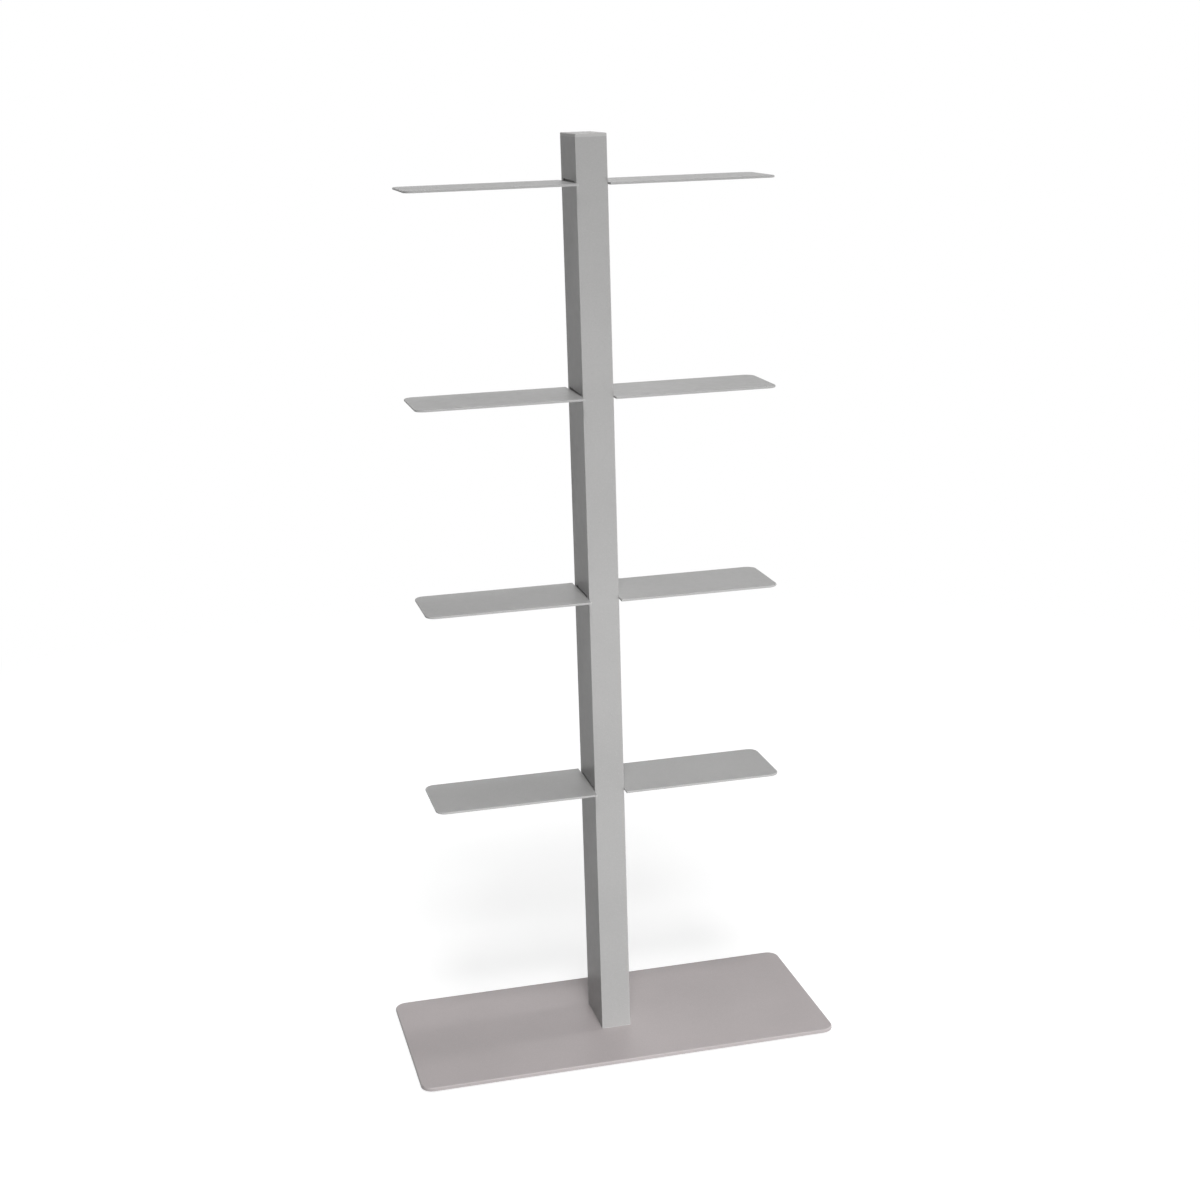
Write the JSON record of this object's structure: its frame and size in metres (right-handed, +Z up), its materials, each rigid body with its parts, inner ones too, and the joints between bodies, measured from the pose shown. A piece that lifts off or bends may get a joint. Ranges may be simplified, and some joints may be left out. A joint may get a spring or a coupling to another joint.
{
  "type": "spine bookshelf",
  "caption": "Free-standing book tower: a slim rectangular steel column on a flat base plate, with small sheet shelves hooked into slots on both sides.",
  "frame": {"origin": "on the floor under the middle of the base plate", "axes": "+Z up along the column, +X along the base plate's long side, -Y towards the viewer in front"},
  "size_m": [0.425, 0.188, 0.9],
  "materials": {
    "powder_coat": "satin silver-grey powder coat with a fine texture",
    "bare_steel": "machined steel",
    "screw_steel": "zinc-plated steel",
    "cap_plastic": "fine moulded texture, grey to match the coat",
    "rubber": "dark grey moulded rubber"
  },
  "bodies": {
    "root": {"base_plate": "powder_coat", "column": "powder_coat", "column_foot": "bare_steel", "base_screws": "screw_steel", "top_cap": "cap_plastic", "shelf_right_1": "powder_coat", "shelf_right_2": "powder_coat", "shelf_right_3": "powder_coat", "shelf_right_4": "powder_coat", "shelf_left_1": "powder_coat", "shelf_left_2": "powder_coat", "shelf_left_3": "powder_coat", "shelf_left_4": "powder_coat", "pad_front_left": "rubber", "pad_front_right": "rubber", "pad_back_left": "rubber", "pad_back_right": "rubber"}
  },
  "joints": []
}
